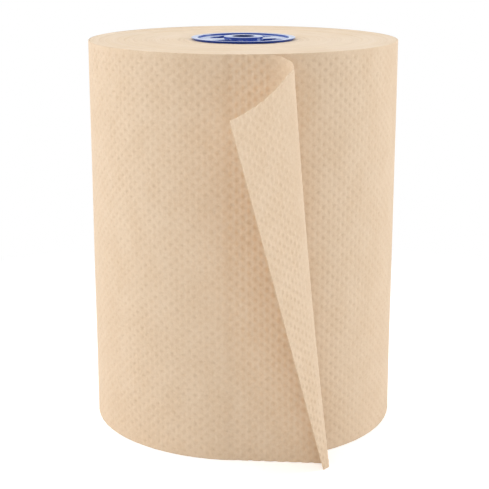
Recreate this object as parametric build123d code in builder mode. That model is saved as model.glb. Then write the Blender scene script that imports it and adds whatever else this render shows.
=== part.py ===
from build123d import *
from math import asin, cos, radians, sin
import os

# A roll of paper towel that stands on its end, with its loose end folded back.
# Lengths are in millimetres and angles in degrees. The origin is on the roll's
# axis at the lower end face, +Z is up and -Y is towards the folded loose end.

# Wound web
web_width = 190.5
roll_radius = 76.0
web_caliper = 0.5
leave_angle = -95.0

# Where the loose end comes out of the outer turn: how far it starts inside, and how deep it lies
root_length = 2.0
root_depth = 0.1

# Loose end: a flat lead, a conical curl that widens upwards and a flat flap that comes back.
# Each has a size at the top of the web and one a trim below its lower edge.
upper_lead = 16.4
upper_curl_radius = 13.1
upper_flap = 47.7
lower_lead = 44.5
lower_curl_radius = 2.8
lower_flap = 3.2
lower_trim = 2.0
curl_turn = 122.0
upper_edge_droop = 20.0

# Bands of turns that stand back on the end faces, as shares of the wound depth
turn_band_shares = ((0.13, 0.21), (0.37, 0.49), (0.62, 0.69), (0.83, 0.91))
turn_band_depth = 0.25

# Core
core_bore_radius = 19.0
core_wall = 2.0
core_glue_gap = 0.05
core_seat_relief = 0.3

# Plug in the upper end of the core
plug_depth = 14.0
plug_clearance = 0.3
flange_radius = 25.65
lip_width = 3.2
lip_height = 0.85
floor_height = 0.3
floor_thickness = 1.5
hub_radius = 9.6
hub_height = 1.3
ring_width = 1.0
ring_height = 1.5
plug_bore_radius = 5.5
sleeve_wall = 1.5
skirt_wall = 1.6
spoke_count = 4
spoke_angle = 15.0
spoke_width = 9.0
window_radius = 16.5
window_corner_radius = 0.8
gusset_thickness = 1.4
gusset_depth = 10.0
crush_rib_count = 6
crush_rib_radius = 0.9
crush_rib_gap = 0.03
plug_edge = 0.3
lead_in = 0.7

# Sizes that follow from those above
core_outer_radius = core_bore_radius + core_wall
core_seat_radius = core_bore_radius + core_seat_relief
skirt_radius = core_seat_radius - plug_clearance
wound_depth = roll_radius - core_outer_radius
step_radius = roll_radius - web_caliper
upper_end = Plane.XY.offset(web_width)


def azimuth(angle, radius=1.0):
    """The point at this angle and distance from the roll's axis, on the lower end face."""
    return Vector(radius * cos(radians(angle)), radius * sin(radians(angle)))


def spiral_outline():
    """One turn of the web's outer face: two half circles that part by a caliper at the step."""
    shift = web_caliper / 4
    near_half = CenterArc(azimuth(leave_angle, -shift), step_radius + shift, leave_angle, 180)
    far_half = CenterArc(azimuth(leave_angle, shift), roll_radius - shift, leave_angle + 180, 180)
    Line(far_half @ 1, near_half @ 0)


# Wound towel: the turns and the loose end are one web. The loose end leaves the roll in a
# plane, rolls round a cone that touches this plane along the fold line, and goes on in a
# second plane that touches the cone along the return line.
outward = azimuth(leave_angle)
lead_direction = azimuth(leave_angle + 90)
root = azimuth(leave_angle, step_radius - root_depth)
lead_plane = Plane(root, x_dir=lead_direction, z_dir=outward)
fold_foot = lead_plane.from_local_coords((lower_lead, -lower_trim))
fold_top = lead_plane.from_local_coords((upper_lead, web_width))
fold_line = Edge.make_line(fold_foot, fold_top)
fold_length = fold_line.length

curl_plane = Plane(fold_foot, x_dir=fold_line % 0, z_dir=(fold_line % 0).cross(outward))
cone_angle = asin((upper_curl_radius - lower_curl_radius) / fold_length)
axis_foot = curl_plane.from_local_coords(
    (-lower_curl_radius * sin(cone_angle), lower_curl_radius * cos(cone_angle))
)
axis_top = curl_plane.from_local_coords(
    (fold_length - upper_curl_radius * sin(cone_angle), upper_curl_radius * cos(cone_angle))
)
curl_axis = Axis(axis_top, axis_foot - axis_top)

return_line = fold_line.rotate(curl_axis, curl_turn)
flap_plane = Plane(
    return_line @ 0, x_dir=return_line % 0, z_dir=-outward.rotate(curl_axis, curl_turn)
)
droop_plane = Plane(
    root + Vector(0, 0, web_width - root_depth), x_dir=lead_direction, z_dir=(0, 0, 1)
).rotated((upper_edge_droop, 0, 0))
lead_outline = [
    (-root_length, -lower_trim),
    (lower_lead, -lower_trim),
    (upper_lead, web_width),
    (-root_length, web_width),
]
flap_outline = [(0, 0), (fold_length, 0), (fold_length, upper_flap), (0, lower_flap)]

with BuildPart() as towel_roll:
    with BuildSketch(lead_plane):
        with BuildLine():
            Polyline(*lead_outline, close=True)
        make_face()
    extrude(amount=web_caliper)
    with BuildSketch(curl_plane):
        Rectangle(fold_length, web_caliper, align=(Align.MIN, Align.MIN))
    revolve(axis=curl_axis, revolution_arc=curl_turn)
    with BuildSketch(flap_plane):
        with BuildLine():
            Polyline(*flap_outline, close=True)
        make_face()
    extrude(amount=-web_caliper)
    split(bisect_by=Plane.XY, keep=Keep.TOP)
    split(bisect_by=droop_plane, keep=Keep.BOTTOM)

    with BuildSketch():
        with BuildLine():
            spiral_outline()
        make_face()
        Circle(core_outer_radius + core_glue_gap, mode=Mode.SUBTRACT)
    extrude(amount=web_width)

    with BuildSketch(Plane.XZ):
        for inner_share, outer_share in turn_band_shares:
            band_radius = core_outer_radius + (inner_share + outer_share) / 2 * wound_depth
            band_width = (outer_share - inner_share) * wound_depth
            with Locations((band_radius, 0), (band_radius, web_width)):
                Rectangle(band_width, 2 * turn_band_depth)
    revolve(axis=Axis.Z, mode=Mode.SUBTRACT)

# Core: a plain tube, eased at its upper end where the plug goes in
with BuildPart() as core_tube:
    with BuildSketch():
        Circle(core_outer_radius)
        Circle(core_bore_radius, mode=Mode.SUBTRACT)
    extrude(amount=web_width)
    with BuildSketch(upper_end):
        Circle(core_seat_radius)
    extrude(amount=-plug_depth, mode=Mode.SUBTRACT)

# Plug: a flange with a raised lip, a hub on four spokes and a skirt inside the core
floor_underside = floor_height - floor_thickness
sleeve_radius = plug_bore_radius + sleeve_wall
ring_radius = plug_bore_radius + ring_width
lip_inner_radius = flange_radius - lip_width
skirt_inner_radius = skirt_radius - skirt_wall
gusset_start = sleeve_radius - sleeve_wall / 2
gusset_end = skirt_inner_radius + skirt_wall / 2
plug_section = [
    (plug_bore_radius, -plug_depth),
    (plug_bore_radius, ring_height),
    (ring_radius, ring_height),
    (ring_radius, hub_height),
    (hub_radius, hub_height),
    (hub_radius, floor_height),
    (lip_inner_radius, floor_height),
    (lip_inner_radius, lip_height),
    (flange_radius, lip_height),
    (flange_radius, 0),
    (skirt_radius, 0),
    (skirt_radius, -plug_depth),
    (skirt_inner_radius, -plug_depth),
    (skirt_inner_radius, floor_underside),
    (sleeve_radius, floor_underside),
    (sleeve_radius, -plug_depth),
]
softened_rims = [
    (hub_radius, hub_height),
    (lip_inner_radius, lip_height),
    (flange_radius, lip_height),
]


def rim(part, radius, height):
    """The circular edge of this radius at this height above the roll's upper end."""
    level = web_width + height
    rims = part.edges().filter_by(GeomType.CIRCLE).filter_by_position(Axis.Z, level, level)
    return rims.sort_by(lambda edge: abs(edge.radius - radius))[0]


with BuildPart() as core_plug:
    with BuildSketch(Plane.XZ.shift_origin((0, 0, web_width))):
        with BuildLine():
            Polyline(*plug_section, close=True)
        make_face()
    revolve(axis=Axis.Z)

    chamfer([rim(core_plug, radius, height) for radius, height in softened_rims], plug_edge)
    chamfer(rim(core_plug, skirt_radius, -plug_depth), lead_in)

    with BuildSketch(upper_end.offset(floor_height)) as windows:
        Circle(window_radius)
        Circle(hub_radius, mode=Mode.SUBTRACT)
        with PolarLocations(hub_radius, spoke_count, spoke_angle):
            Rectangle(2 * hub_radius, spoke_width, mode=Mode.SUBTRACT)
        fillet(windows.vertices(), window_corner_radius)
    extrude(amount=-floor_thickness, mode=Mode.SUBTRACT)

    with BuildSketch(upper_end.offset(floor_underside)):
        with PolarLocations((gusset_start + gusset_end) / 2, spoke_count, spoke_angle):
            Rectangle(gusset_end - gusset_start, gusset_thickness)
    extrude(amount=-gusset_depth)

    with BuildSketch(upper_end.offset(lead_in - plug_depth)):
        with PolarLocations(core_seat_radius - crush_rib_gap - crush_rib_radius, crush_rib_count):
            Circle(crush_rib_radius)
    extrude(amount=plug_depth - lead_in)

core_plug.part.label = "core_plug"
core_tube.part.label = "core_tube"
towel_roll.part.label = "towel_roll"

os.makedirs("parts", exist_ok=True)
export_step(towel_roll.part, "parts/towel_roll.step")
export_step(core_tube.part, "parts/core_tube.step")
export_step(core_plug.part, "parts/core_plug.step")
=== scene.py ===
from math import asin, cos, pi, radians, sin, tan

import bmesh
import bpy
import numpy as np
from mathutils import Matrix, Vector

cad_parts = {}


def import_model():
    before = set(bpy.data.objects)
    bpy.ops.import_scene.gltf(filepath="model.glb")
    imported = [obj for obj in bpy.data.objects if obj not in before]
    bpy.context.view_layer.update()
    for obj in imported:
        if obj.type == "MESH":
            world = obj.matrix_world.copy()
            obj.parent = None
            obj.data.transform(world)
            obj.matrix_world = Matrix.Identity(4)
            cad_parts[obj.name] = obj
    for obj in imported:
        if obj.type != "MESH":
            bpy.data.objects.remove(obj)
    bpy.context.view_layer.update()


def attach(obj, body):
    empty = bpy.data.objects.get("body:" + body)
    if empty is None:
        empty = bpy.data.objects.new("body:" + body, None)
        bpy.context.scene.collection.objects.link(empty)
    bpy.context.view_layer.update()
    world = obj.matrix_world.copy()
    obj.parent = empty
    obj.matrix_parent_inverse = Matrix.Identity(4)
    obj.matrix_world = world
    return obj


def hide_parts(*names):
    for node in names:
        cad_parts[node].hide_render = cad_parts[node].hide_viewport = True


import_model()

# A roll of paper towel on its end, with its loose end folded back. Lengths in this
# script are in millimetres until a mesh is made, and then in metres.
MM = 0.001

# The same sizes as the solids
WEB_WIDTH = 190.5
ROLL_RADIUS = 76.0
CALIPER = 0.5
LEAVE_ANGLE = -95.0
ROOT_LENGTH, ROOT_DEPTH = 2.0, 0.1
UPPER_LEAD, UPPER_CURL, UPPER_FLAP = 16.4, 13.1, 47.7
LOWER_LEAD, LOWER_CURL, LOWER_FLAP, LOWER_TRIM = 44.5, 2.8, 3.2, 2.0
CURL_TURN, EDGE_DROOP = 122.0, 20.0
TURN_BANDS = ((0.13, 0.21), (0.37, 0.49), (0.62, 0.69), (0.83, 0.91))
BAND_DEPTH = 0.25
CORE_RADIUS, CORE_BORE_RADIUS, CORE_SEAT_RADIUS = 21.0, 19.0, 19.3
SEAT_LEVEL = 176.5

# Windows between the plug's spokes, which start a little outside the hub
WINDOW_COUNT, WINDOW_ANGLE, WINDOW_CORNER = 4, 60.0, 0.8
WINDOW_INNER, WINDOW_OUTER, HALF_SPOKE = 9.9, 16.5, 4.5

# Embossing: staggered round pans, pressed in from the outer side of the web. The pans of
# the outer turn vary a little, and those of the loose end are a quarter deeper.
COLUMNS = 166
PANS = 39
PITCH = 2 * pi * (ROLL_RADIUS - CALIPER / 2) / COLUMNS
REPEAT = 4.8
FIRST_PAN = 2.6
PAN_FLOOR, PAN_RIM = 0.5, 1.5
PAN_DEPTH = 0.43
DEPTH_SPREAD, RIM_SPREAD = (0.88, 1.1), (0.93, 1.07)
LOOSE_PANS = 1.25

# Slow waves of the wound outer face: height, waves in a turn, phase per millimetre, phase
SWAYS = ((0.05, 3, 0.021, 0.4), (0.06, 7, -0.034, 2.1), (0.04, 2, 0.062, 0.0))

# How the outer turn's edge turns in at both ends: distance from the end, and depth
EDGE_ROWS = ((0.3, 0.0), (0.08, 0.06), (0.0, 0.4))
EDGE_RUFFLE, RUFFLE_PHASE = 0.06, 0.9

# Edges of the turns on the end faces
END_STEPS = 240
BAND_EDGE = 0.008
TURN_LIFT, VALLEY_DEPTH, VALLEY_SWING = 0.02, 0.06, 0.03
END_WAVES = ((0.05, 5, 9, 1.3), (0.04, 11, -23, 0.0))
END_CAP, END_DROP, CORE_EDGE_DROP = 0.02, 0.08, 1.2
END_INSET, END_SKIRT = 0.3, 1.0

# How far the ends are dished; the plug sits in the upper one
PLUG_SINK, LOWER_DISH = 0.4, 0.1

# How the loose end departs from plain planes and a cone
FOLD_BOW, CURL_RISE, FLAP_HANG = 1.45, 1.2, 1.9
LEAD_COLUMNS, CURL_COLUMNS, FLAP_COLUMNS, LOOSE_ROWS = 71, 27, 64, 298

OUTWARD = np.array([cos(radians(LEAVE_ANGLE)), sin(radians(LEAVE_ANGLE)), 0.0])
AHEAD = np.array([-OUTWARD[1], OUTWARD[0], 0.0])
UP = np.array([0.0, 0.0, 1.0])

random = np.random.default_rng(952)


# Meshes

def make_piece(name, points, faces, material, node, smooth_angle=180.0):
    """A mesh piece in place of a CAD node, from points in millimetres."""
    mesh = bpy.data.meshes.new(name)
    mesh.from_pydata((np.asarray(points) * MM).tolist(), [], faces)
    mesh.validate()
    mesh.shade_smooth()
    if smooth_angle < 180:
        mesh.set_sharp_from_angle(angle=radians(smooth_angle))
    mesh.materials.append(material)
    piece = bpy.data.objects.new(name, mesh)
    bpy.context.scene.collection.objects.link(piece)
    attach(piece, "root")
    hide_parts(node)
    return piece


def grid_faces(ids):
    """Quads between the neighbours of a 2-D array of point numbers."""
    return np.stack(
        [ids[:-1, :-1].ravel(), ids[1:, :-1].ravel(), ids[1:, 1:].ravel(), ids[:-1, 1:].ravel()], axis=1
    ).tolist()


def closed(ids):
    """The array with its first column again after its last, for a band that closes on itself."""
    return np.concatenate([ids, ids[:, :1]], axis=1)


def turn_radius(turn):
    """The outer face of the roll at this angle past the place where the loose end leaves."""
    swing = CALIPER / 4 * np.cos(turn)
    near = ROLL_RADIUS - 0.75 * CALIPER - swing
    far = ROLL_RADIUS - 0.25 * CALIPER + swing
    return np.where(turn < pi, near, far)


def sway(turn, height):
    """A slow unevenness of the wound outer face, in millimetres."""
    return sum(
        size * np.sin(waves * turn + climb * height + phase) for size, waves, climb, phase in SWAYS
    )


def on_roll(along, height, depth=0.0):
    """Points on the roll's outer face, from the distance along the web and the height."""
    turn = np.mod(np.asarray(along) / PITCH / COLUMNS * 2 * pi, 2 * pi)
    radius = turn_radius(turn) + sway(turn, height) - depth
    angle = turn + radians(LEAVE_ANGLE)
    return np.stack([radius * np.cos(angle), radius * np.sin(angle), height + 0 * radius], axis=-1)


def roll_wall(material):
    """The outer turn, as one band of six-sided pans that share the corners of their cells."""
    tip = (PITCH ** 2 - REPEAT ** 2 / 4) / (2 * PITCH)
    column = np.arange(COLUMNS)
    pan = np.arange(PANS)
    along = (column + 0.5) * PITCH
    start = FIRST_PAN + (column % 2) * REPEAT / 2
    centre_along = np.repeat(along[:, None], PANS, axis=1)
    centre_height = start[:, None] + REPEAT * pan[None, :]
    depth = PAN_DEPTH * random.uniform(*DEPTH_SPREAD, (COLUMNS, PANS))
    six = np.arange(6) * pi / 3

    points = []
    count = 0

    def store(block):
        nonlocal count
        flat = block.reshape(-1, 3)
        ids = np.arange(count, count + len(flat)).reshape(block.shape[:-1])
        points.append(flat)
        count += len(flat)
        return ids

    def ring(radius, ring_depth):
        wobble = random.uniform(*RIM_SPREAD, (COLUMNS, PANS, 1)) * radius
        return store(
            on_roll(
                centre_along[..., None] + wobble * np.cos(six),
                centre_height[..., None] + wobble * np.sin(six),
                ring_depth[..., None] + np.zeros(6),
            )
        )

    floors = ring(PAN_FLOOR, depth)
    rims = ring(PAN_RIM, 0 * depth)
    tip_along = along[:, None, None] + tip * np.array([-1.0, 1.0])[None, :, None]
    tip_height = (start[:, None] + REPEAT * (np.arange(PANS + 1)[None, :] - 0.5))[:, None, :]
    tips = store(on_roll(tip_along + 0 * tip_height, tip_height + 0 * tip_along))

    after = np.roll(column, -1)
    before = np.roll(column, 1)
    shift = column % 2
    corner = np.empty((COLUMNS, PANS, 6), int)
    for k in range(PANS):
        corner[:, k, 0] = tips[after, 0, k + shift]
        corner[:, k, 1] = tips[column, 1, k + 1]
        corner[:, k, 2] = tips[column, 0, k + 1]
        corner[:, k, 3] = tips[before, 1, k + shift]
        corner[:, k, 4] = tips[column, 0, k]
        corner[:, k, 5] = tips[column, 1, k]

    faces = floors.reshape(-1, 6).tolist()
    for inner, outer in ((floors, rims), (rims, corner)):
        for i in range(6):
            j = (i + 1) % 6
            quad = (inner[..., i], outer[..., i], outer[..., j], inner[..., j])
            faces += np.stack([ids.ravel() for ids in quad], axis=1).tolist()

    # The rims at both ends turn in over a small radius
    edge_along = tip_along[:, :, 0].ravel()
    for level, inward, edge_ids in (
        (0.0, 1.0, tips[:, :, 0].ravel()),
        (WEB_WIDTH, -1.0, tips[:, :, -1].ravel()),
    ):
        rows = [edge_ids]
        for rise, inset in EDGE_ROWS:
            ruffle = EDGE_RUFFLE * np.sin(RUFFLE_PHASE * edge_along) * (rise > 0)
            edge_height = level + inward * rise + 0 * edge_along
            rows.append(store(on_roll(edge_along, edge_height, inset + ruffle)))
        ids = closed(np.stack(rows))
        faces += grid_faces(ids if inward > 0 else ids[::-1])
    return make_piece("roll_wall", np.concatenate(points), faces, material, "towel_roll")


def roll_end(name, level, upward, dish, material):
    """The edges of the turns at one end, as rings that stand a little up or back, dished inwards."""
    turns = int((ROLL_RADIUS - CORE_RADIUS) / CALIPER)
    turn = np.arange(END_STEPS) / END_STEPS * 2 * pi
    share = np.linspace(0, 1, 2 * turns + 1)
    outer = turn_radius(turn) + sway(turn, level) - 0.4
    inner = CORE_RADIUS + 0.05
    radius = inner + share[:, None] * (outer - inner)[None, :]

    height = np.zeros_like(radius)
    for low, high in TURN_BANDS:
        rise = np.clip((share - low) / BAND_EDGE, 0, 1) * np.clip((high - share) / BAND_EDGE, 0, 1)
        height -= (BAND_DEPTH * rise)[:, None]
    per_turn = np.repeat(random.uniform(-1, 1, turns + 1), 2)[: 2 * turns + 1]
    height += TURN_LIFT * per_turn[:, None]
    valley = (np.arange(2 * turns + 1) % 2).astype(float)
    phase = random.uniform(0, 2 * pi, turns + 1).repeat(2)[: 2 * turns + 1]
    swing = VALLEY_SWING * np.sin(9 * turn[None, :] + phase[:, None])
    height -= valley[:, None] * (VALLEY_DEPTH + swing)
    for size, waves, drift, shift in END_WAVES:
        height += size * np.sin(waves * turn[None, :] + drift * share[:, None] + shift)
    height = np.minimum(height, END_CAP) - END_DROP - dish * (1 - share[:, None])
    height[-1] = 0.0
    height[0] = -CORE_EDGE_DROP

    angle = turn[None, :] + radians(LEAVE_ANGLE)
    points = np.stack(
        [radius * np.cos(angle), radius * np.sin(angle), level + upward * height], axis=-1
    )
    skirt = points[-1].copy()
    skirt[:, :2] *= 1 - END_INSET / ROLL_RADIUS
    skirt[:, 2] -= upward * END_SKIRT
    points = np.concatenate([points, skirt[None]])
    ids = closed(np.arange(len(points) * END_STEPS).reshape(len(points), END_STEPS))
    faces = grid_faces(ids if upward > 0 else ids[::-1])
    return make_piece(name, points.reshape(-1, 3), faces, material, "towel_roll")


def turned(vectors, axis, angle):
    """Vectors turned about an axis through the origin."""
    return (
        vectors * cos(angle)
        + np.cross(axis, vectors) * sin(angle)
        + np.outer(vectors @ axis, axis) * (1 - cos(angle))
    )


def pan_share(along, height):
    """How deep inside a pan a point of the flat web is, from 0 to 1."""
    column = np.floor(along / PITCH)
    across = along - (column + 0.5) * PITCH
    start = FIRST_PAN + np.mod(column, 2) * REPEAT / 2
    up = np.mod(height - start + REPEAT / 2, REPEAT) - REPEAT / 2
    inside = np.clip((PAN_RIM + 0.05 - np.hypot(across, up)) / (PAN_RIM - PAN_FLOOR + 0.1), 0, 1)
    return inside * inside * (3 - 2 * inside)


def loose_end(material):
    """The loose end: a flat lead, a curl on a cone and a flat flap, bent from the flat web."""
    fold_foot = np.array([LOWER_LEAD, -LOWER_TRIM])
    fold_top = np.array([UPPER_LEAD, WEB_WIDTH])
    length = np.linalg.norm(fold_top - fold_foot)
    along_fold = (fold_top - fold_foot) / length
    off_fold = np.array([along_fold[1], -along_fold[0]])
    half_angle = asin((UPPER_CURL - LOWER_CURL) / length)

    def in_space(flat):
        return flat[..., :1] * AHEAD + flat[..., 1:] * UP

    foot = in_space(fold_foot)
    direction = in_space(along_fold)
    axis_foot = foot - LOWER_CURL * sin(half_angle) * direction + LOWER_CURL * cos(half_angle) * OUTWARD
    axis_top = (
        foot
        + (length - UPPER_CURL * sin(half_angle)) * direction
        + UPPER_CURL * cos(half_angle) * OUTWARD
    )
    axis = (axis_foot - axis_top) / np.linalg.norm(axis_foot - axis_top)
    apex_distance = LOWER_CURL / sin(half_angle)
    apex_flat = fold_foot - apex_distance * along_fold

    # Each column is a straight line on the web: its two ends in space and flat, its normal, and
    # how far it takes part in the bow of the fold, loses its embossing and hangs at its top
    columns = []
    for share in np.linspace(0, 1, LEAD_COLUMNS)[:-1]:
        flat_ends = [
            np.array([share * (end[0] + ROOT_LENGTH) - ROOT_LENGTH, end[1]])
            for end in (fold_foot, fold_top)
        ]
        ends = [in_space(p) for p in flat_ends]
        columns.append((ends, flat_ends, OUTWARD, share ** 2, 0.0, 0.0))
    for angle in np.linspace(0, radians(CURL_TURN), CURL_COLUMNS):
        ends = [
            axis_top + turned((in_space(p) - axis_top)[None], axis, angle)[0]
            for p in (fold_foot, fold_top)
        ]
        flat_angle = angle * sin(half_angle)
        ray = cos(flat_angle) * along_fold + sin(flat_angle) * off_fold
        flat_ends = [apex_flat + (apex_distance + s) * ray for s in (0, length)]
        bent = angle / radians(CURL_TURN)
        normal = turned(OUTWARD[None], axis, angle)[0]
        fade = sin(min(angle, pi / 2)) ** 4
        columns.append((ends, flat_ends, normal, 1.0, fade, -CURL_RISE * bent ** 2))
    return_ends, return_flat, flap_normal = columns[-1][:3]
    off_return = turned(in_space(off_fold)[None], axis, radians(CURL_TURN))[0]
    flat_off = np.array([ray[1], -ray[0]])
    for share in np.linspace(0, 1, FLAP_COLUMNS)[1:]:
        widths = (share * LOWER_FLAP, share * UPPER_FLAP)
        ends = [p + w * off_return for p, w in zip(return_ends, widths)]
        flat_ends = [p + w * flat_off for p, w in zip(return_flat, widths)]
        hang = FLAP_HANG * 4 * share * (1 - share) - CURL_RISE * (1 - share) ** 6
        fade = (1 - share) ** 6 + share ** 30
        columns.append((ends, flat_ends, flap_normal, 1 - share, fade, hang))

    # Cut at the floor and at the drooping upper edge, then spread the rows evenly
    rows = np.linspace(0, 1, LOOSE_ROWS)
    slope = tan(radians(EDGE_DROOP))
    surface, flat, normals, fades = [], [], [], []
    for (low, high), (flat_low, flat_high), normal, bow, fade, hang in columns:
        bottom = max(0.0, -low[2] / (high[2] - low[2]))
        low_top = low[2] + slope * (low @ OUTWARD) - WEB_WIDTH + ROOT_DEPTH
        high_top = high[2] + slope * (high @ OUTWARD) - WEB_WIDTH + ROOT_DEPTH
        top = min(1.0, -low_top / (high_top - low_top) - hang / length)
        t = (bottom + (top - bottom) * rows)[:, None]
        surface.append(low + t * (high - low) - bow * (FOLD_BOW * 4 * t * (1 - t) + 0.5 * t ** 4) * AHEAD)
        flat.append(flat_low + t * (flat_high - flat_low))
        normals.append(np.repeat(normal[None], len(rows), axis=0))
        fades.append(np.full(len(rows), fade))
    surface, flat, normals, fades = (np.stack(a, axis=1) for a in (surface, flat, normals, fades))
    surface = surface + (ROLL_RADIUS - CALIPER - ROOT_DEPTH) * OUTWARD

    dent = PAN_DEPTH * (LOOSE_PANS - fades) * pan_share(flat[..., 0], flat[..., 1])
    thin = CALIPER - 0.12
    back = surface - dent[..., None] * normals
    front = back + thin * normals
    rows_count, columns_count = dent.shape
    back_ids = np.arange(rows_count * columns_count).reshape(rows_count, columns_count)
    front_ids = back_ids + rows_count * columns_count
    faces = grid_faces(back_ids) + grid_faces(front_ids[:, ::-1])
    for a, b in (
        (back_ids[0, ::-1], front_ids[0, ::-1]),
        (back_ids[-1], front_ids[-1]),
        (back_ids[:, 0], front_ids[:, 0]),
        (back_ids[::-1, -1], front_ids[::-1, -1]),
    ):
        faces += grid_faces(np.stack([b, a]))
    points = np.concatenate([back.reshape(-1, 3), front.reshape(-1, 3)])
    points[:, 2] = np.maximum(points[:, 2], 0.02)
    return make_piece("loose_end", points, faces, material, "towel_roll", 60.0)


def rounded(corners):
    """A profile with each corner (radius, height, rounding) rounded by an arc of five points."""
    profile = []
    for i, (x, z, rounding) in enumerate(corners):
        here = Vector((x, z))
        before = Vector(corners[i - 1][:2]) - here
        after = Vector(corners[(i + 1) % len(corners)][:2]) - here
        if rounding <= 0:
            profile.append(here)
            continue
        before.normalize()
        after.normalize()
        opening = before.angle(after)
        reach = rounding / tan(opening / 2)
        start = here + before * reach
        end = here + after * reach
        centre = here + (before + after).normalized() * (rounding / sin(opening / 2))
        for step in range(5):
            mid = (start - centre).lerp(end - centre, step / 4)
            profile.append(centre + mid.normalized() * rounding)
    return np.array(profile)


def lathe(profile, around):
    """Points and faces of a closed profile turned about the roll's axis."""
    turn = np.arange(around) / around * 2 * pi
    points = np.stack(
        [
            profile[:, :1] * np.cos(turn),
            profile[:, :1] * np.sin(turn),
            profile[:, 1:] + 0 * turn[None, :],
        ],
        axis=-1,
    )
    ids = closed(np.arange(len(profile) * around).reshape(len(profile), around))
    ids = np.concatenate([ids, ids[:1]])
    return points.reshape(-1, 3), grid_faces(ids)


def core(material):
    """The core: a tube that ends a little inside the dished upper end, with softened rims."""
    top = WEB_WIDTH - PLUG_SINK - 0.1
    corners = [
        (CORE_BORE_RADIUS, 0.1, 0.3), (CORE_BORE_RADIUS, SEAT_LEVEL, 0.0),
        (CORE_SEAT_RADIUS, SEAT_LEVEL, 0.0), (CORE_SEAT_RADIUS, top, 0.2),
        (CORE_RADIUS, top, 0.2), (CORE_RADIUS, 0.1, 0.3),
    ]
    points, faces = lathe(rounded(corners), 180)
    return make_piece("core_board", points, faces, material, "core_tube", 50.0)


def plug(material):
    """The plug: flange with a raised lip, hub and ring, four windows, skirt and sleeve."""
    top = WEB_WIDTH - PLUG_SINK + 0.1
    # Radius, height above the seat and rounding of each corner
    corners = [
        (5.5, -13.9, 0.3), (5.5, -4.0, 0.0), (6.5, -3.0, 0.0), (6.5, 1.05, 0.0), (5.5, 1.28, 0.0),
        (5.5, 1.42, 0.06), (6.5, 1.42, 0.08), (6.6, 1.36, 0.04), (9.6, 1.36, 0.25), (9.6, 0.3, 0.15),
        (22.45, 0.3, 0.15), (22.45, 0.9, 0.15), (25.65, 1.0, 0.12), (25.6, 0.72, 0.08),
        (24.8, 0.3, 0.0), (24.8, -0.1, 0.1), (19.0, -0.1, 0.0), (19.0, -13.3, 0.0), (18.3, -13.9, 0.0),
        (17.4, -13.9, 0.2), (17.4, -1.2, 0.3), (7.0, -1.2, 0.3), (7.0, -13.9, 0.3),
    ]
    profile = rounded(corners)
    profile[:, 1] += top
    points, faces = lathe(profile, 192)
    piece = make_piece("plug_shell", points, faces, material, "core_plug", 40.0)

    # The windows are cut through, then their edges are softened
    cutters = []
    for middle in np.radians(np.arange(WINDOW_COUNT) * 360 / WINDOW_COUNT + WINDOW_ANGLE):
        outline = []
        for radius, order in ((WINDOW_OUTER, 1), (WINDOW_INNER, -1)):
            reach = pi / WINDOW_COUNT - asin(HALF_SPOKE / radius)
            corner = reach - WINDOW_CORNER / radius
            angles = np.linspace(-corner, corner, 25)[::order]
            outline += [(radius * cos(middle + a), radius * sin(middle + a)) for a in angles]
            corner_radius = radius - order * WINDOW_CORNER
            corner_angle = middle + order * reach
            outline.append((corner_radius * cos(corner_angle), corner_radius * sin(corner_angle)))
        cutters.append(prism("window_cutter", outline, top - 4, top + 3))
    for cutter in cutters:
        cut = piece.modifiers.new("window", "BOOLEAN")
        cut.operation = "DIFFERENCE"
        cut.solver = "EXACT"
        cut.object = cutter
    soften = piece.modifiers.new("soften", "BEVEL")
    soften.width = 0.18 * MM
    soften.segments = 2
    soften.limit_method = "ANGLE"
    soften.angle_limit = radians(50)
    bake(piece)
    piece.data.shade_smooth()
    piece.data.set_sharp_from_angle(angle=radians(50))
    for cutter in cutters:
        bpy.data.objects.remove(cutter)
    return piece


def prism(name, outline, low, high):
    """A helper solid between two heights over an outline in millimetres."""
    count = len(outline)
    points = [(x * MM, y * MM, low * MM) for x, y in outline]
    points += [(x * MM, y * MM, high * MM) for x, y in outline]
    faces = [list(range(count))[::-1], list(range(count, 2 * count))]
    faces += [[i, (i + 1) % count, count + (i + 1) % count, count + i] for i in range(count)]
    mesh = bpy.data.meshes.new(name)
    mesh.from_pydata(points, [], faces)
    solid = bpy.data.objects.new(name, mesh)
    bpy.context.scene.collection.objects.link(solid)
    tidy = bmesh.new()
    tidy.from_mesh(mesh)
    bmesh.ops.recalc_face_normals(tidy, faces=tidy.faces)
    tidy.to_mesh(mesh)
    tidy.free()
    return solid


def bake(piece):
    """Applies a piece's modifiers to its mesh."""
    graph = bpy.context.evaluated_depsgraph_get()
    mesh = bpy.data.meshes.new_from_object(piece.evaluated_get(graph))
    piece.modifiers.clear()
    piece.data = mesh


# Materials

def new_material(name, colour, roughness):
    material = bpy.data.materials.new(name)
    material.use_nodes = True
    shader = material.node_tree.nodes["Principled BSDF"]
    shader.inputs["Base Color"].default_value = (*colour, 1)
    shader.inputs["Roughness"].default_value = roughness
    return material, material.node_tree, shader


def linear(red, green, blue):
    """Linear colour values of an 8-bit colour."""
    values = np.array([red, green, blue]) / 255
    return tuple(np.where(values <= 0.04045, values / 12.92, ((values + 0.055) / 1.055) ** 2.4))


def node(tree, kind, **settings):
    """A shader node with its properties and inputs set by name."""
    made = tree.nodes.new("ShaderNode" + kind)
    for key, value in settings.items():
        if hasattr(made, key):
            setattr(made, key, value)
        else:
            made.inputs[key.replace("_", " ")].default_value = value
    return made


def stretched(tree, scale):
    """Object coordinates scaled by a different amount each way."""
    source = node(tree, "TexCoord")
    mapping = node(tree, "Mapping", Scale=scale)
    tree.links.new(source.outputs["Object"], mapping.inputs["Vector"])
    return mapping.outputs["Vector"]


def noise(tree, scale, detail=2.0, roughness=0.5):
    """Noise with its own number of waves per metre along x, y and z."""
    made = node(tree, "TexNoise", Scale=1.0, Detail=detail, Roughness=roughness)
    tree.links.new(stretched(tree, scale), made.inputs["Vector"])
    return made.outputs["Fac"]


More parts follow.
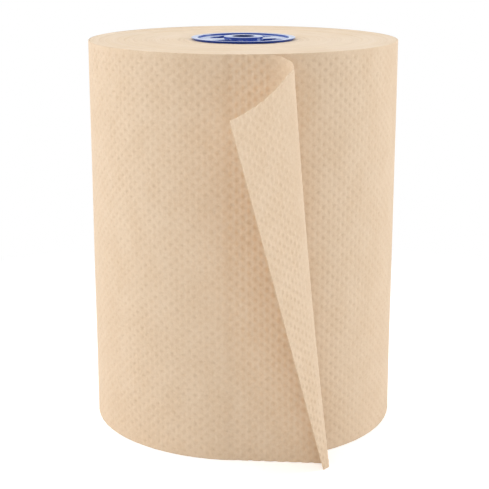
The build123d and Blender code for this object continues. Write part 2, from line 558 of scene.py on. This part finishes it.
def ring_noise(tree, distance, scale, detail):
    """Noise that depends on the distance from the roll's axis alone."""
    made = node(tree, "TexNoise", noise_dimensions="1D", Scale=scale, Detail=detail)
    tree.links.new(distance, made.inputs["W"])
    return made.outputs["Fac"]


def axis_distance(tree):
    """The distance from the roll's axis, in metres."""
    length = node(tree, "VectorMath", operation="LENGTH")
    tree.links.new(stretched(tree, (1, 1, 0)), length.inputs[0])
    return length.outputs["Value"]


def ranged(tree, value, low, high, new_low, new_high):
    made = node(tree, "MapRange")
    made.clamp = True
    for key, number in zip(("From Min", "From Max", "To Min", "To Max"), (low, high, new_low, new_high)):
        made.inputs[key].default_value = number
    tree.links.new(value, made.inputs["Value"])
    return made.outputs["Result"]


def blended(tree, share, first, second, mode="MIX"):
    """A colour mix; first and second are colours or outputs."""
    made = tree.nodes.new("ShaderNodeMix")
    made.data_type = "RGBA"
    made.blend_type = mode
    for socket, value in ((made.inputs[0], share), (made.inputs[6], first), (made.inputs[7], second)):
        if isinstance(value, bpy.types.NodeSocket):
            tree.links.new(value, socket)
        elif isinstance(value, tuple):
            socket.default_value = (*value, 1)
        else:
            socket.default_value = value
    return made.outputs[2]


def bumped(tree, height, distance, strength, under=None):
    made = node(tree, "Bump", Strength=strength, Distance=distance * MM)
    tree.links.new(height, made.inputs["Height"])
    if under is not None:
        tree.links.new(under, made.inputs["Normal"])
    return made.outputs["Normal"]


def paper():
    """Soft unbleached tissue: clouded colour, fibres, a few dark flecks and fine crepe."""
    material, tree, shader = new_material("towel_paper", PAPER, 0.92)
    shader.inputs["Specular IOR Level"].default_value = 0.25
    shader.inputs["Sheen Weight"].default_value = 0.12
    shader.inputs["Sheen Roughness"].default_value = 0.5
    clouds = noise(tree, (90, 90, 60), 3.0)
    colour = blended(tree, ranged(tree, clouds, 0.35, 0.65, 0, 1), PAPER_DEEP, PAPER_LIGHT)
    fibres = noise(tree, (1300, 1300, 800), 4.0, 0.7)
    colour = blended(tree, ranged(tree, fibres, 0.36, 0.64, 0, 0.55), colour, PAPER_FIBRE)
    grain = noise(tree, (900, 900, 1100), 3.0, 0.7)
    colour = blended(tree, ranged(tree, grain, 0.45, 0.68, 0, 0.3), colour, PAPER_GRAIN)
    flecks = noise(tree, (520, 520, 950), 2.0, 0.6)
    colour = blended(tree, ranged(tree, flecks, 0.69, 0.76, 0, 0.28), colour, PAPER_FLECK)
    tree.links.new(colour, shader.inputs["Base Color"])
    crepe = noise(tree, (2300, 2300, 260))
    nap = noise(tree, (3200, 3200, 2600), 3.0, 0.7)
    bump = bumped(tree, crepe, 0.10, 0.5)
    bump = bumped(tree, nap, 0.07, 0.5, bump)
    tree.links.new(bump, shader.inputs["Normal"])
    return material


def paper_edges():
    """The cut edges of the turns: thin rings that differ in tone, with soft lighter sectors of painted
    sheen.
    """
    material, tree, shader = new_material("towel_cut_edges", PAPER, 0.95)
    shader.inputs["Specular IOR Level"].default_value = 0.2
    shader.inputs["Sheen Weight"].default_value = 0.1
    distance = axis_distance(tree)
    fine_rings = ring_noise(tree, distance, 900.0, 3.0)
    wide_rings = ring_noise(tree, distance, 130.0, 2.0)
    colour = blended(tree, ranged(tree, fine_rings, 0.35, 0.65, 0, 1), EDGE_DEEP, EDGE_LIGHT)
    colour = blended(tree, ranged(tree, wide_rings, 0.4, 0.62, 0, 0.45), colour, EDGE_WARM)
    # Soft lighter sectors are painted sheen: they stand in for the glint of the wound paper edges
    sheen_sectors = noise(tree, (26, 26, 1))
    colour = blended(tree, ranged(tree, sheen_sectors, 0.42, 0.62, 0, 0.35), colour, EDGE_PAINTED_SHEEN)
    specks = noise(tree, (1800, 1800, 1800), 3.0, 0.65)
    colour = blended(tree, ranged(tree, specks, 0.5, 0.75, 0, 0.4), colour, EDGE_DEEP)
    tree.links.new(colour, shader.inputs["Base Color"])
    bump = bumped(tree, specks, 0.12, 0.6)
    tree.links.new(bump, shader.inputs["Normal"])
    return material


def cardboard():
    """Core board: grey-brown with fibres and the spiral butt seam of its plies."""
    material, tree, shader = new_material("core_cardboard", BOARD, 0.85)
    shader.inputs["Specular IOR Level"].default_value = 0.3
    fibres = noise(tree, (420, 420, 1400), 4.0, 0.6)
    colour = blended(tree, ranged(tree, fibres, 0.3, 0.7, 0, 1), BOARD_DEEP, BOARD_LIGHT)
    source = node(tree, "TexCoord")
    split = node(tree, "SeparateXYZ")
    tree.links.new(source.outputs["Object"], split.inputs[0])
    angle = node(tree, "Math", operation="ARCTAN2")
    tree.links.new(split.outputs["Y"], angle.inputs[0])
    tree.links.new(split.outputs["X"], angle.inputs[1])
    turns = node(tree, "Math", operation="MULTIPLY")
    turns.inputs[1].default_value = 1 / (2 * pi)
    tree.links.new(angle.outputs[0], turns.inputs[0])
    rise = node(tree, "Math", operation="MULTIPLY_ADD")
    rise.inputs[1].default_value = 1 / SEAM_RISE
    tree.links.new(split.outputs["Z"], rise.inputs[0])
    tree.links.new(turns.outputs[0], rise.inputs[2])
    part = node(tree, "Math", operation="FRACT")
    tree.links.new(rise.outputs[0], part.inputs[0])
    away = node(tree, "Math", operation="PINGPONG")
    away.inputs[1].default_value = 0.5
    tree.links.new(part.outputs[0], away.inputs[0])
    seam = ranged(tree, away.outputs[0], 0.002, 0.008, 1, 0)
    colour = blended(tree, seam, colour, BOARD_SEAM)
    tree.links.new(colour, shader.inputs["Base Color"])
    bump = bumped(tree, fibres, 0.08, 0.5)
    bump = bumped(tree, away.outputs[0], 0.4, 0.25, bump)
    tree.links.new(bump, shader.inputs["Normal"])
    return material


def plug_plastic():
    """Glossy moulded blue plastic, with fine moulding waves and light rub marks."""
    material, tree, shader = new_material("blue_plastic", PLUG, 0.16)
    shader.inputs["IOR"].default_value = 1.3
    shader.inputs["Coat Weight"].default_value = 1.0
    shader.inputs["Coat IOR"].default_value = 1.3
    shader.inputs["Coat Roughness"].default_value = 0.1
    shader.inputs["Coat Tint"].default_value = (0.62, 0.8, 1, 1)
    waves = noise(tree, (260, 260, 260))
    rubs = noise(tree, (1500, 380, 900), 3.0, 0.6)
    tree.links.new(ranged(tree, rubs, 0.45, 0.75, 0.13, 0.26), shader.inputs["Roughness"])
    colour = blended(tree, ranged(tree, waves, 0.4, 0.6, 0, 1), PLUG, PLUG_PALE)
    tree.links.new(colour, shader.inputs["Base Color"])
    tree.links.new(bumped(tree, waves, 0.05, 0.4), shader.inputs["Normal"])
    return material


PAPER = linear(226, 200, 170)
PAPER_DEEP = linear(224, 197, 166)
PAPER_LIGHT = linear(229, 204, 175)
PAPER_FIBRE = linear(235, 213, 187)
PAPER_GRAIN = linear(212, 184, 151)
PAPER_FLECK = linear(190, 160, 126)
EDGE_DEEP = linear(227, 203, 174)
EDGE_LIGHT = linear(236, 216, 192)
EDGE_WARM = linear(232, 209, 178)
# Pale colour of the painted sheen on the cut edges
EDGE_PAINTED_SHEEN = linear(240, 223, 203)
BOARD = linear(176, 146, 108)
BOARD_DEEP = linear(160, 130, 94)
BOARD_LIGHT = linear(190, 160, 122)
BOARD_SEAM = linear(112, 88, 60)
SEAM_RISE = 0.085
PLUG = linear(33, 65, 150)
PLUG_PALE = linear(36, 70, 158)

towel = paper()
edges = paper_edges()
roll_wall(towel)
roll_end("roll_end_upper", WEB_WIDTH, 1, PLUG_SINK, edges)
roll_end("roll_end_lower", 0.0, -1, LOWER_DISH, edges)
loose_end(towel)
plug(plug_plastic())
core(cardboard())


# Floor, light and camera

def floor():
    """A pale floor that shows white to the camera and keeps the roll's soft shadow."""
    bpy.ops.mesh.primitive_plane_add(size=12, location=(0, 0, -0.0001))
    ground = bpy.context.object
    ground.name = "floor"
    material, tree, shader = new_material("floor_pale", (0.94, 0.94, 0.94), 0.9)
    shader.inputs["Specular IOR Level"].default_value = 0.1
    paths = node(tree, "LightPath")
    glow = node(tree, "Emission", Strength=0.35)
    white = node(tree, "Emission", Strength=1.0)
    far = ranged(tree, axis_distance(tree), 0.13, 0.34, 0, 1)
    seen = node(tree, "Math", operation="MAXIMUM")
    tree.links.new(paths.outputs["Is Camera Ray"], seen.inputs[0])
    tree.links.new(paths.outputs["Is Glossy Ray"], seen.inputs[1])
    lit = node(tree, "AddShader")
    spread = node(tree, "MixShader")
    pick = node(tree, "MixShader")
    tree.links.new(shader.outputs[0], lit.inputs[0])
    tree.links.new(glow.outputs[0], lit.inputs[1])
    tree.links.new(far, spread.inputs[0])
    tree.links.new(lit.outputs[0], spread.inputs[1])
    tree.links.new(white.outputs[0], spread.inputs[2])
    tree.links.new(seen.outputs[0], pick.inputs[0])
    tree.links.new(shader.outputs[0], pick.inputs[1])
    tree.links.new(spread.outputs[0], pick.inputs[2])
    tree.links.new(pick.outputs[0], tree.nodes["Material Output"].inputs["Surface"])
    ground.data.materials.append(material)


def world(ambient):
    """White for what the camera, gloss and clear things see; a plain ambient level for the rest."""
    made = bpy.data.worlds.new("studio")
    bpy.context.scene.world = made
    made.use_nodes = True
    tree = made.node_tree
    tree.nodes.clear()
    paths = node(tree, "LightPath")
    first = node(tree, "Math", operation="MAXIMUM")
    second = node(tree, "Math", operation="MAXIMUM")
    tree.links.new(paths.outputs["Is Camera Ray"], first.inputs[0])
    tree.links.new(paths.outputs["Is Glossy Ray"], first.inputs[1])
    tree.links.new(first.outputs[0], second.inputs[0])
    tree.links.new(paths.outputs["Is Transmission Ray"], second.inputs[1])
    fill = node(tree, "Background", Color=(1, 1, 1, 1), Strength=ambient)
    white = node(tree, "Background", Color=(1, 1, 1, 1), Strength=1.0)
    pick = node(tree, "MixShader")
    tree.links.new(second.outputs[0], pick.inputs[0])
    tree.links.new(fill.outputs[0], pick.inputs[1])
    tree.links.new(white.outputs[0], pick.inputs[2])
    out = node(tree, "OutputWorld")
    tree.links.new(pick.outputs[0], out.inputs["Surface"])


def soft_light(name, place, target_height, width, height, power):
    """A rectangular lamp in metres and watts, aimed at a height on the roll's axis."""
    lamp = bpy.data.lights.new(name, "AREA")
    lamp.shape = "RECTANGLE"
    lamp.size = width
    lamp.size_y = height
    lamp.energy = power
    holder = bpy.data.objects.new(name, lamp)
    bpy.context.scene.collection.objects.link(holder)
    holder.location = place
    aim = Vector((0, 0, target_height)) - Vector(place)
    holder.rotation_euler = aim.to_track_quat("-Z", "Y").to_euler()


def camera(place, look_down, lens):
    """The camera that was fitted to the photo's silhouettes."""
    made = bpy.data.cameras.new("camera")
    made.lens = lens
    made.sensor_width = 36.0
    made.clip_end = 30.0
    viewer = bpy.data.objects.new("camera", made)
    bpy.context.scene.collection.objects.link(viewer)
    viewer.location = place
    viewer.rotation_euler = (radians(90 - look_down), 0, 0)
    bpy.context.scene.camera = viewer


floor()
world(0.42)
soft_light("light_left", (-1.25, 0.32, 0.5), 0.1, 1.1, 1.2, 7.4)
soft_light("light_right", (1.25, 0.28, 0.5), 0.1, 0.5, 1.0, 8.4)
soft_light("light_above", (-0.15, -0.05, 1.5), 0.1, 0.9, 0.9, 6.1)
soft_light("light_front", (0.15, -1.3, 0.9), 0.05, 0.9, 0.5, 3.6)
soft_light("light_graze", (-1.25, -0.2, 0.5), 0.08, 0.3, 0.3, 2.6)
camera((0.00054, -0.6322, 0.2481), 14.41, 93.70)

bpy.context.scene.view_settings.view_transform = "Standard"
